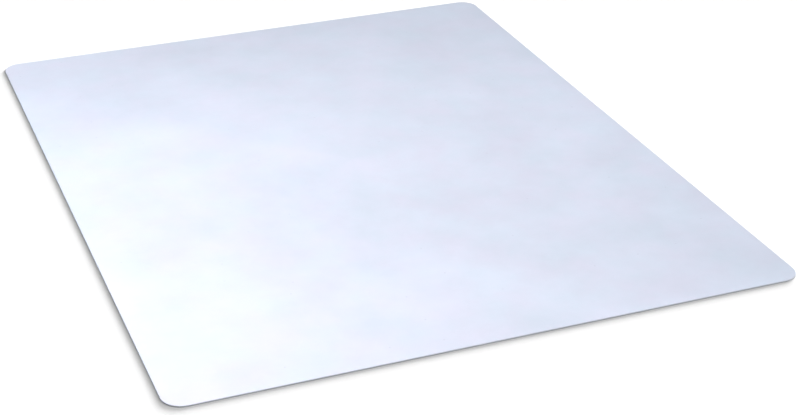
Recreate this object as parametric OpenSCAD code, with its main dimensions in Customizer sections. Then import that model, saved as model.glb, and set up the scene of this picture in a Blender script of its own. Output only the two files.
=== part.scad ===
// Office chair mat for hard floors: a flat rectangular plastic sheet with rounded corners.
//
// Three layers are bonded face to face over their whole area, cut to one outline and milled round
// the rim: a frosted wear film on top, a rigid core sheet, and an anti-slip backing underneath.
//
// Frame: +Z is up, X runs across the mat and Y along it. The origin is on the floor, under the
// middle of the mat.

/* [Outline] */
// Width of the mat, along X
mat_w = 1168; // [760:1:1530]
// Length of the mat, along Y
mat_l = 1524; // [910:1:2010]
// Radius of the four corners
corner_r = 38; // [20:1:80]

/* [Layers] */
// Thickness of the frosted wear film
film_t = 0.3; // [0.2:0.05:0.5]
// Thickness of the rigid core sheet
core_t = 1.8; // [1.4:0.1:2.6]
// Thickness of the anti-slip backing
backing_t = 0.4; // [0.3:0.05:0.6]

/* [Milled rim] */
// Width and height of the 45 degree bevel round the top
top_bevel = 0.8; // [0.6:0.1:1.2]
// Width and height of the 45 degree bevel that takes the edge off the underside
bottom_bevel = 0.2; // [0.1:0.05:0.3]
// Straight edges in a full circle, which sets how smooth the corners are
$fn = 96; // [32:8:192]

/* [Hidden] */

// Heights of the faces where the layers meet, and of the top
core_z = backing_t;
film_z = core_z + core_t;
mat_t = film_z + film_t;

// Distances between the centres of the corner arcs
arc_pitch_x = mat_w - 2 * corner_r;
arc_pitch_y = mat_l - 2 * corner_r;

// Heights where a bevel meets the upright face of the rim
rim_knees = [bottom_bevel, mat_t - top_bevel];

// How far the bevels cut the rim back at height z
function rim_cut(z) = max(0, bottom_bevel - z, z - (mat_t - top_bevel));

// Heights of the corners of the rim's section within a layer, from its underside to its top
function rim_levels(z_low, z_high) =
    concat(z_low, [for (z = rim_knees) if (z > z_low && z < z_high) z], z_high);

// Section of a layer from the line of the corner arcs' centres out to the rim
module rim_section(z_low, z_high) {
    rim = [for (z = rim_levels(z_low, z_high)) [corner_r - rim_cut(z), z]];
    polygon(concat([[0, z_low]], rim, [[0, z_high]]));
}

// One layer: a flat middle, and round it four straight sides, each with the corner that follows it
module layer(z_low, z_high) {
    translate([0, 0, (z_low + z_high) / 2])
        cube([arc_pitch_x, arc_pitch_y, z_high - z_low], center = true);
    for (side = [0:3]) {
        reach = (side % 2 == 0 ? arc_pitch_x : arc_pitch_y) / 2;
        half_length = (side % 2 == 0 ? arc_pitch_y : arc_pitch_x) / 2;
        rotate(90 * side)
            translate([reach, 0, 0]) {
                rotate([90, 0, 0])
                    linear_extrude(height = 2 * half_length, center = true)
                        rim_section(z_low, z_high);
                translate([0, half_length, 0])
                    rotate_extrude(angle = 90)
                        rim_section(z_low, z_high);
            }
    }
}

// Clear film with a fine frosted grain, which the casters roll on
module wear_film() {
    color("AliceBlue")
        layer(film_z, mat_t);
}

// Stiff blue-white sheet that spreads the load of the chair
module core_sheet() {
    color("LightSteelBlue")
        layer(core_z, film_z);
}

// Soft pebbled coat that grips the floor
module anti_slip_backing() {
    color("Gainsboro")
        layer(0, core_z);
}

wear_film();
core_sheet();
anti_slip_backing();
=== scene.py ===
"""Looks of a frosted plastic chair mat on a pale floor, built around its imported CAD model.

Every length is in metres, in the CAD frame: +Z is up, X runs across the mat and Y along it.
"""

import math

import bmesh
import bpy
import numpy as np
from mathutils import Matrix, Vector


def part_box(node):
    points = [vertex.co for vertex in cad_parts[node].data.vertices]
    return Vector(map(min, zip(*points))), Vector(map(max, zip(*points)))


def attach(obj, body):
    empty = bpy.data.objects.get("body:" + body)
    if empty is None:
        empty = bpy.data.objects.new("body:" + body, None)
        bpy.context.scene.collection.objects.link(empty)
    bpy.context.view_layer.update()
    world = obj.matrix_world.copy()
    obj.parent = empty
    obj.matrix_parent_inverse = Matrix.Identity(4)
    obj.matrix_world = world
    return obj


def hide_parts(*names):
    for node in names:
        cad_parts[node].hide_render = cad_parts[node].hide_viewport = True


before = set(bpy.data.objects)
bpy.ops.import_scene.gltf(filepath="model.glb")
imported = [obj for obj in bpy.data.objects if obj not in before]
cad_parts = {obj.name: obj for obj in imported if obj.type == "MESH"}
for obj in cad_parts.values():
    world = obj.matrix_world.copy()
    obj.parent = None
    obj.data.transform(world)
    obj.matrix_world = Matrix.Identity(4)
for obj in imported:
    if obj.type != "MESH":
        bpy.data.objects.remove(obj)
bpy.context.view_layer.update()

MM = 0.001
SAME = 0.01 * MM  # CAD points this close to a face are on it
MERGE = 0.001 * MM  # mesh points closer than this become one

# Mesh detail
CELL = 8 * MM  # side of a grid cell on the film's top
COARSE_CELL = 40 * MM  # the same on faces that are flat
ARC_STEPS = 24  # in each corner
RINGS = 8  # between the corner arcs' centres and the rim
SOFT_EDGE = 0.12 * MM  # how far each milled edge is rounded over
SOFT_SHARE = 0.4  # the most of a short side that its edge's rounding takes
SOFT_STEPS = 3
FLAT_STRIP = 4 * SOFT_EDGE  # width of flat face that comes before a layer's first rounded edge

# Waviness of the film's top
RIPPLE_DEPTH = 0.14 * MM  # from the highest point to the lowest
RIPPLE_LENGTHS = (60 * MM, 190 * MM)  # shortest and longest wave
RIPPLE_COUNT = 28
RIPPLE_FADE = 14 * MM  # width of the strip along the rim where the waves die out
RIPPLE_SEED = 11

# Colours, from the darkest to the palest of each
FILM_COOL = ((0.461, 0.522, 0.619), (0.544, 0.615, 0.730))
FILM_WARM = ((0.482, 0.514, 0.619), (0.569, 0.606, 0.730))
FILM_SPECK = (0.45, 0.49, 0.59)
CORE_COLOURS = ((0.66, 0.70, 0.76), (0.73, 0.77, 0.82))
BACKING_COLOURS = ((0.50, 0.53, 0.59), (0.56, 0.59, 0.64))
FLOOR_COLOUR = (0.98, 0.98, 0.98)

# Materials. A noise's span is the range of its values that is used, stretched to the whole effect.
PLASTIC_IOR = 1.585
NOISE_SPAN = (0.3, 0.7)
# The film's painted light and shade, and its clouds, which add up to how pale it is. The painted light
# and shade starts at a place in its noise that sets where the mat is lighter and darker: darker along
# its back and paler on its left, as the light falls there.
PAINTED_SHADING_SIZE, PAINTED_SHADING_SPAN, PAINTED_SHADING_SHARE = 0.55, (0.31, 0.71), 0.51
PAINTED_SHADING_START = (5.23, 0.64, 0)
CLOUD_SIZE, CLOUD_SPAN, CLOUD_SHARE = 0.15, (0.32, 0.68), 0.49
# Its cool and warm patches, and its more and less satin ones
TINT_SIZE, TINT_SPAN = 0.11, (0.36, 0.64)
SATIN_SIZE, SATIN_ROUGHNESS = 45 * MM, (0.31, 0.35)
# Its surface, from coarse to fine. The grain makes it rougher and smoother by turns.
PEEL_SIZE, PEEL_DEPTH = 7 * MM, 0.02 * MM
GRAIN_SIZE, GRAIN_DEPTH, GRAIN_ROUGHNESS = 0.9 * MM, 0.012 * MM, (-0.03, 0.03)
# Its specks: a faint one in each cell whose random number is over the first chance, and a full one
# over the second. The heart is the share of the radius that is evenly dark.
SPECK_SPACING, SPECK_RADIUS, SPECK_HEART = 90 * MM, 2.2 * MM, 0.4
SPECK_CHANCES = (0.6, 0.8)
# The cutter marks along the rim, and how many times longer they are than high
CUT_SIZE, CUT_DEPTH, CUT_ROUGHNESS = 30 * MM, 0.02 * MM, (0.38, 0.5)
CUT_LENGTH = 120
# The backing's pebbles, which are smoother on top, and its paler and darker patches
PEBBLE_SIZE, PEBBLE_DEPTH, PEBBLE_ROUGHNESS = 3 * MM, 0.15 * MM, (0.82, 0.7)
BACKING_PATCH_SIZE = 60 * MM

# The camera and the point it is aimed at, with angles in degrees. At azimuth 0 it stands straight in
# front of the mat, at -Y, and below 0 it stands further left.
CAMERA_TARGET = Vector((9.5 * MM, -244.3 * MM, 3.5 * MM))
CAMERA_DISTANCE = 3.3563
CAMERA_AZIMUTH = -20.84
CAMERA_ELEVATION = 27.03
CAMERA_ROLL = -0.31
CAMERA_LENS = 78.36
CAMERA_SENSOR = 36
CAMERA_CLIP = (0.05, 100)

# Even light from all round, and how bright the backdrop looks
SKY_LIGHT = 0.105
BACKDROP = 1.0
# Distant lights: name, azimuth, elevation and apparent width in degrees, and strength
HIGH_KEYS = (
    ("ceiling", 0, 89, 60, 0.81),
    ("side_key", 97, 32, 18, 1.07),
)
# The same, for low lights behind the mat and to its right. They throw its shadow on the floor in
# front of it and to its left, and don't show in gloss.
LOW_KEYS = (
    ("low_key_back", 8, 4, 7, 1.3),
    ("low_key_long", 30, 4, 7, 2.3),
    ("low_key", 43, 6, 10, 3.95),
    ("low_key_short", 50, 10, 16, 6.35),
)
# Softboxes that light the film alone: name, place, width, height, power, colour, shown in gloss
FILM_LIGHTS = (
    ("fill", (-1.2, -0.5, 1.6), 0.8, 0.8, 31.1, (1.0, 0.88, 0.82), True),
    ("side_fill", (-1.1, 0.25, 0.3), 0.3, 0.3, 1.42, (0.50, 0.75, 1.0), False),
    ("sheen", (0.8, 5.0, 3.5), 2.4, 2.0, 5.5, (1.0, 1.0, 1.0), True),
)
DISTANT_PLACE = 3.0  # how far off a distant light's object stands, which changes nothing
FLOOR_SIZE = 40.0

# A Mix node's colour sockets share their names with its other sockets, so they go by number
MIX_A, MIX_B, MIX_RESULT = 6, 7, 2


# ---------------------------------------------------------------- the mat's sizes, from the frame


def half_width_at(node, height):
    """Half the width of a CAD node at the height of one of its faces."""
    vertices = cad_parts[node].data.vertices
    return max(v.co.x for v in vertices if abs(v.co.z - height) < SAME)


def corner_radius_of(node):
    """Radius of a CAD node's corners: its straight sides stop that far short of its box's corners."""
    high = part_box(node)[1]
    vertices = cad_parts[node].data.vertices
    return high.y - max(v.co.y for v in vertices if v.co.x > high.x - SAME)


core_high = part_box("core_sheet")[1]
floor_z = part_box("anti_slip_backing")[0].z
top_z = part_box("wear_film")[1].z
corner_r = corner_radius_of("core_sheet")
top_bevel = core_high.x - half_width_at("wear_film", top_z)
bottom_bevel = core_high.x - half_width_at("anti_slip_backing", floor_z)
# From the mat's middle to the centres of the corner arcs
arc_x = core_high.x - corner_r
arc_y = core_high.y - corner_r


# ---------------------------------------------------------------- shape


def rim_cut(z):
    """How far the bevels cut the rim back at height z."""
    return max(0.0, floor_z + bottom_bevel - z, z - (top_z - top_bevel))


def softened(points):
    """The path through points, with every corner but the two ends rounded over."""
    path = [points[0]]
    for before, corner, after in zip(points, points[1:], points[2:]):
        back, on = before - corner, after - corner
        reach = min(SOFT_EDGE, SOFT_SHARE * back.length, SOFT_SHARE * on.length)
        start = corner + back.normalized() * reach
        end = corner + on.normalized() * reach
        for step in range(SOFT_STEPS + 1):
            t = step / SOFT_STEPS
            path.append(start.lerp(corner, t).lerp(corner.lerp(end, t), t))
    path.append(points[-1])
    return path


def section(z_low, z_high):
    """A layer's section as (inset from the rim, height), from the middle of its underside out round the
    rim to the middle of its top."""
    knees = [z for z in (floor_z + bottom_bevel, top_z - top_bevel) if z_low < z < z_high]
    levels = [z_low, *knees, z_high]
    rim = [Vector((rim_cut(z), z)) for z in levels]
    under = Vector((rim_cut(z_low) + FLAT_STRIP, z_low))
    over = Vector((rim_cut(z_high) + FLAT_STRIP, z_high))
    path = softened([under, *rim, over])

    def rings(start, z):
        shares = [(ring / RINGS) ** 2 for ring in range(1, RINGS + 1)]
        return [Vector((start + (corner_r - start) * share, z)) for share in shares]

    return rings(under.x, z_low)[::-1] + path + rings(over.x, z_high)


def outline(inset, cells_x, cells_y):
    """The mat's outline moved inwards by inset, anticlockwise, as rows of x and y."""
    reach = corner_r - inset
    corner = np.radians(np.arange(ARC_STEPS) * 90 / ARC_STEPS)
    points = []
    for side in range(4):
        out, along, cells = (arc_x, arc_y, cells_y) if side % 2 == 0 else (arc_y, arc_x, cells_x)
        straight = np.linspace(-along, along, cells + 1)[:-1]
        x = np.concatenate([np.full(cells, out + reach), out + reach * np.cos(corner)])
        y = np.concatenate([straight, along + reach * np.sin(corner)])
        for _ in range(side):
            x, y = -y, x
        points.append(np.column_stack([x, y]))
    return np.concatenate(points)


def layer_mesh(name, z_low, z_high, cell):
    """A closed mesh of one layer: loops of quads round the rim, and a grid over each flat middle."""
    cells_x = round(2 * arc_x / cell)
    cells_y = round(2 * arc_y / cell)
    path = section(z_low, z_high)
    loops = [outline(point.x, cells_x, cells_y) for point in path]
    count = len(loops[0])
    rim = np.concatenate([np.insert(xy, 2, point.y, axis=1) for xy, point in zip(loops, path)])
    here = np.arange(count)
    after = (here + 1) % count
    faces = []
    for loop in range(len(path) - 1):
        low, high = loop * count, (loop + 1) * count
        faces.append(np.column_stack([low + here, low + after, high + after, high + here]))

    x, y = np.meshgrid(np.linspace(-arc_x, arc_x, cells_x + 1), np.linspace(-arc_y, arc_y, cells_y + 1))
    corner = (np.arange(cells_y)[:, None] * (cells_x + 1) + np.arange(cells_x)).ravel()
    quads = np.column_stack([corner, corner + 1, corner + cells_x + 2, corner + cells_x + 1])
    points = [rim]
    start = len(rim)
    for z, winding in ((z_high, quads), (z_low, quads[:, ::-1])):
        points.append(np.column_stack([x.ravel(), y.ravel(), np.full(x.size, z)]))
        faces.append(winding + start)
        start += x.size

    mesh = bpy.data.meshes.new(name)
    mesh.from_pydata(np.concatenate(points).tolist(), [], np.concatenate(faces).tolist())
    work = bmesh.new()
    work.from_mesh(mesh)
    bmesh.ops.remove_doubles(work, verts=work.verts, dist=MERGE)
    work.to_mesh(mesh)
    work.free()
    return mesh


def ripple(mesh, z_high):
    """Lets the film's top dip in slow waves that die out at the rim."""
    rng = np.random.default_rng(RIPPLE_SEED)
    lengths = np.geomspace(*RIPPLE_LENGTHS, RIPPLE_COUNT)
    headings = rng.uniform(0, 2 * math.pi, RIPPLE_COUNT)
    phases = rng.uniform(0, 2 * math.pi, RIPPLE_COUNT)
    points = np.zeros(len(mesh.vertices) * 3, np.float32)
    mesh.vertices.foreach_get("co", points)
    points = points.reshape(-1, 3)
    x, y = points[:, 0].astype(float), points[:, 1].astype(float)
    waves = np.zeros(len(x))
    for length, heading, phase in zip(lengths, headings, phases):
        across = x * math.cos(heading) + y * math.sin(heading)
        waves += length * np.sin(2 * math.pi * across / length + phase)
    waves = (waves - waves.min()) / (waves.max() - waves.min())
    beyond_x, beyond_y = np.abs(x) - arc_x, np.abs(y) - arc_y
    outside = np.hypot(np.maximum(beyond_x, 0), np.maximum(beyond_y, 0))
    inset = corner_r - outside - np.minimum(np.maximum(beyond_x, beyond_y), 0)
    fade = np.clip((inset - top_bevel) / RIPPLE_FADE, 0, 1)
    fade = fade * fade * (3 - 2 * fade)
    on_top = points[:, 2] > z_high - MERGE
    points[:, 2] -= np.where(on_top, RIPPLE_DEPTH * waves * fade, 0)
    mesh.vertices.foreach_set("co", points.ravel())
    mesh.update()


def add_layer(name, node, material, cell=COARSE_CELL):
    """Makes one layer of the mat in place of its CAD node."""
    low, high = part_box(node)
    mesh = layer_mesh(name, low.z, high.z, cell)
    mesh.materials.append(material)
    mesh.shade_smooth()
    piece = bpy.data.objects.new(name, mesh)
    bpy.context.scene.collection.objects.link(piece)
    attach(piece, "root")
    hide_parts(node)
    return piece


# ---------------------------------------------------------------- materials


def new_material(name):
    """A node material: its tree and its Principled shader."""
    material = bpy.data.materials.new(name)
    material.use_nodes = True
    return material, material.node_tree, material.node_tree.nodes["Principled BSDF"]


def noise(tree, size, detail, roughness, squeeze=(1, 1, 1), start=(0, 0, 0)):
    """Noise whose features are about size across, in the mat's own metres. squeeze makes them that many
    times smaller along each axis, and the mat's middle is at start in the noise."""
    place = tree.nodes.new("ShaderNodeTexCoord")
    mapping = tree.nodes.new("ShaderNodeMapping")
    mapping.inputs["Scale"].default_value = squeeze
    mapping.inputs["Location"].default_value = start
    texture = tree.nodes.new("ShaderNodeTexNoise")
    texture.inputs["Scale"].default_value = 1 / size
    texture.inputs["Detail"].default_value = detail
    texture.inputs["Roughness"].default_value = roughness
    tree.links.new(place.outputs["Object"], mapping.inputs["Vector"])
    tree.links.new(mapping.outputs["Vector"], texture.inputs["Vector"])
    return texture.outputs["Fac"]


def specks(tree, spacing, radius):
    """1 in small soft dots, in about a third of a set of cells that are spacing across, and else 0."""
    place = tree.nodes.new("ShaderNodeTexCoord")
    cells = tree.nodes.new("ShaderNodeTexVoronoi")
    cells.voronoi_dimensions = "2D"
    cells.inputs["Scale"].default_value = 1 / spacing
    tree.links.new(place.outputs["Object"], cells.inputs["Vector"])
    split = tree.nodes.new("ShaderNodeSeparateColor")
    tree.links.new(cells.outputs["Color"], split.inputs["Color"])
    reach = radius / spacing
    dot = remap(tree, cells.outputs["Distance"], SPECK_HEART * reach, reach, 1, 0)
    return combine(tree, "MULTIPLY", dot, remap(tree, split.outputs["Red"], *SPECK_CHANCES, 0, 1))


def remap(tree, value, low, high, out_low, out_high):
    """value, with the range from low to high stretched to the range from out_low to out_high."""
    node = tree.nodes.new("ShaderNodeMapRange")
    node.clamp = True
    for name, number in (
        ("From Min", low),
        ("From Max", high),
        ("To Min", out_low),
        ("To Max", out_high),
    ):
        node.inputs[name].default_value = number
    tree.links.new(value, node.inputs["Value"])
    return node.outputs["Result"]


def combine(tree, operation, a, b):
    """a and b put together by a Math node. Each is a socket or a number."""
    node = tree.nodes.new("ShaderNodeMath")
    node.operation = operation
    for socket, value in zip(node.inputs, (a, b)):
        if isinstance(value, bpy.types.NodeSocket):
            tree.links.new(value, socket)
        else:
            socket.default_value = value
    return node.outputs["Value"]


def blend(tree, factor, a, b):
    """Colour a turning into colour b as factor goes from 0 to 1. a and b are sockets or colours."""
    node = tree.nodes.new("ShaderNodeMix")
    node.data_type = "RGBA"
    tree.links.new(factor, node.inputs["Factor"])
    for socket, value in ((node.inputs[MIX_A], a), (node.inputs[MIX_B], b)):
        if isinstance(value, bpy.types.NodeSocket):
            tree.links.new(value, socket)
        else:
            socket.default_value = (*value, 1)
    return node.outputs[MIX_RESULT]


def bump(tree, height, depth, under=None):
    """A normal from heights of 0 to 1, depth metres deep, laid over the normal under."""
    node = tree.nodes.new("ShaderNodeBump")
    node.inputs["Strength"].default_value = 1
    node.inputs["Distance"].default_value = depth
    tree.links.new(height, node.inputs["Height"])
    if under is not None:
        tree.links.new(under, node.inputs["Normal"])
    return node.outputs["Normal"]


def frosted_film():
    """Satin blue-white film: a fine frosted grain, faint clouds and tint, painted shade along its back
    and painted light on its left, a few dark specks.
    """
    material, tree, shader = new_material("frosted_film")
    # Painted light and shade: noise placed so the film is darker along its back and paler on its left
    painted_shading = remap(tree, noise(tree, PAINTED_SHADING_SIZE, 2, 0.5, start=PAINTED_SHADING_START), *PAINTED_SHADING_SPAN, 0, PAINTED_SHADING_SHARE)
    clouds = remap(tree, noise(tree, CLOUD_SIZE, 5, 0.62), *CLOUD_SPAN, 0, CLOUD_SHARE)
    # How pale the film is: the painted light and shade plus the random clouds
    shade = combine(tree, "ADD", painted_shading, clouds)
    tint = remap(tree, noise(tree, TINT_SIZE, 4, 0.6), *TINT_SPAN, 0, 1)
    clean = blend(tree, tint, blend(tree, shade, *FILM_COOL), blend(tree, shade, *FILM_WARM))
    colour = blend(tree, specks(tree, SPECK_SPACING, SPECK_RADIUS), clean, FILM_SPECK)
    tree.links.new(colour, shader.inputs["Base Color"])

    grain = noise(tree, GRAIN_SIZE, 2, 0.6)
    satin = remap(tree, noise(tree, SATIN_SIZE, 2, 0.5), *NOISE_SPAN, *SATIN_ROUGHNESS)
    rough = combine(tree, "ADD", remap(tree, grain, *NOISE_SPAN, *GRAIN_ROUGHNESS), satin)
    tree.links.new(rough, shader.inputs["Roughness"])

    peel = bump(tree, noise(tree, PEEL_SIZE, 1, 0.4), PEEL_DEPTH)
    tree.links.new(bump(tree, grain, GRAIN_DEPTH, peel), shader.inputs["Normal"])
    shader.inputs["IOR"].default_value = PLASTIC_IOR
    return material


def core_plastic():
    """Milled edge of the core, which looks grey because light that enters the sheet stays in it."""
    material, tree, shader = new_material("core_plastic")
    marks = noise(tree, CUT_SIZE, 2, 0.6, squeeze=(1, 1, CUT_LENGTH))
    colour = blend(tree, remap(tree, marks, *NOISE_SPAN, 0, 1), *CORE_COLOURS)
    tree.links.new(colour, shader.inputs["Base Color"])
    tree.links.new(remap(tree, marks, *NOISE_SPAN, *CUT_ROUGHNESS), shader.inputs["Roughness"])
    tree.links.new(bump(tree, marks, CUT_DEPTH), shader.inputs["Normal"])
    shader.inputs["IOR"].default_value = PLASTIC_IOR
    return material


def grip_backing():
    """Matte pebbled coat under the mat."""
    material, tree, shader = new_material("grip_backing")
    pebbles = noise(tree, PEBBLE_SIZE, 1, 0.4)
    shade = remap(tree, noise(tree, BACKING_PATCH_SIZE, 3, 0.55), *NOISE_SPAN, 0, 1)
    tree.links.new(blend(tree, shade, *BACKING_COLOURS), shader.inputs["Base Color"])
    tree.links.new(remap(tree, pebbles, *NOISE_SPAN, *PEBBLE_ROUGHNESS), shader.inputs["Roughness"])
    tree.links.new(bump(tree, pebbles, PEBBLE_DEPTH), shader.inputs["Normal"])
    return material


# ---------------------------------------------------------------- studio


def direction(azimuth, elevation):
    """Unit vector towards a place in the studio. Azimuth 0 is +Y, and 90 is +X, in degrees."""
    a, e = math.radians(azimuth), math.radians(elevation)
    return Vector((math.sin(a) * math.cos(e), math.cos(a) * math.cos(e), math.sin(e)))


def add_light(name, kind, place, energy, **settings):
    """A light at a place, turned towards the mat's middle."""
    data = bpy.data.lights.new(name, kind)
    data.energy = energy
    for key, value in settings.items():
        setattr(data, key, value)
    light = bpy.data.objects.new(name, data)
    light.location = place
    light.rotation_euler = Vector(place).to_track_quat("Z", "Y").to_euler()
    light.visible_camera = False
    bpy.context.scene.collection.objects.link(light)
    return light


def add_softbox(name, place, width, height, energy, colour):
    """A rectangular soft light."""
    return add_light(
        name, "AREA", place, energy, shape="RECTANGLE", size=width, size_y=height, color=colour
    )


def add_distant(name, azimuth, elevation, spread, energy):
    """A light so far off that it is even over the whole floor. Its apparent width is spread degrees."""
    place = direction(azimuth, elevation) * DISTANT_PLACE
    return add_light(name, "SUN", place, energy, angle=math.radians(spread))


def light_only(light, piece):
    """Keeps a light on one piece, as if the rest of the studio were flagged off from it."""
    receivers = bpy.data.collections.new(light.name + "_receivers")
    receivers.objects.link(piece)
    light.light_linking.receiver_collection = receivers


def add_world(light, seen):
    """Even light from all round. The camera sees the backdrop at a brightness of its own."""
    world = bpy.data.worlds.new("studio")
    bpy.context.scene.world = world
    world.use_nodes = True
    tree = world.node_tree
    background = tree.nodes["Background"]
    background.inputs["Strength"].default_value = 1
    ray = tree.nodes.new("ShaderNodeLightPath")
    mix = tree.nodes.new("ShaderNodeMix")
    mix.data_type = "RGBA"
    mix.inputs[MIX_A].default_value = (light, light, light, 1)
    mix.inputs[MIX_B].default_value = (seen, seen, seen, 1)
    tree.links.new(ray.outputs["Is Camera Ray"], mix.inputs["Factor"])
    tree.links.new(mix.outputs[MIX_RESULT], background.inputs["Color"])


def add_floor():
    """A plain pale floor."""
    mesh = bpy.data.meshes.new("floor")
    half = FLOOR_SIZE / 2
    corners = [(-half, -half), (half, -half), (half, half), (-half, half)]
    mesh.from_pydata([(x, y, floor_z) for x, y in corners], [], [(0, 1, 2, 3)])
    floor = bpy.data.objects.new("floor", mesh)
    material, _, shader = new_material("floor")
    shader.inputs["Base Color"].default_value = (*FLOOR_COLOUR, 1)
    shader.inputs["Roughness"].default_value = 1
    shader.inputs["Specular IOR Level"].default_value = 0
    mesh.materials.append(material)
    bpy.context.scene.collection.objects.link(floor)


def add_camera():
    """The camera, looking at the mat from the front and left."""
    data = bpy.data.cameras.new("camera")
    data.lens = CAMERA_LENS
    data.sensor_width = CAMERA_SENSOR
    data.clip_start, data.clip_end = CAMERA_CLIP
    camera = bpy.data.objects.new("camera", data)
    back = direction(180 - CAMERA_AZIMUTH, CAMERA_ELEVATION)
    level = (-back).to_track_quat("-Z", "Y").to_matrix()
    roll = Matrix.Rotation(math.radians(CAMERA_ROLL), 3, "Z")
    camera.location = CAMERA_TARGET + back * CAMERA_DISTANCE
    camera.rotation_euler = (level @ roll).to_euler()
    bpy.context.scene.collection.objects.link(camera)
    bpy.context.scene.camera = camera


# ---------------------------------------------------------------- the scene

view = bpy.context.scene.view_settings
view.view_transform = "Standard"
view.look = "None"

film = add_layer("frosted_wear_film", "wear_film", frosted_film(), CELL)
ripple(film.data, top_z)
add_layer("milled_core_sheet", "core_sheet", core_plastic())
add_layer("grip_backing", "anti_slip_backing", grip_backing())

add_floor()
add_world(SKY_LIGHT, BACKDROP)
for settings in HIGH_KEYS:
    add_distant(*settings)
for settings in LOW_KEYS:
    add_distant(*settings).visible_glossy = False
for *settings, glossy in FILM_LIGHTS:
    light = add_softbox(*settings)
    light.visible_glossy = glossy
    light_only(light, film)
add_camera()
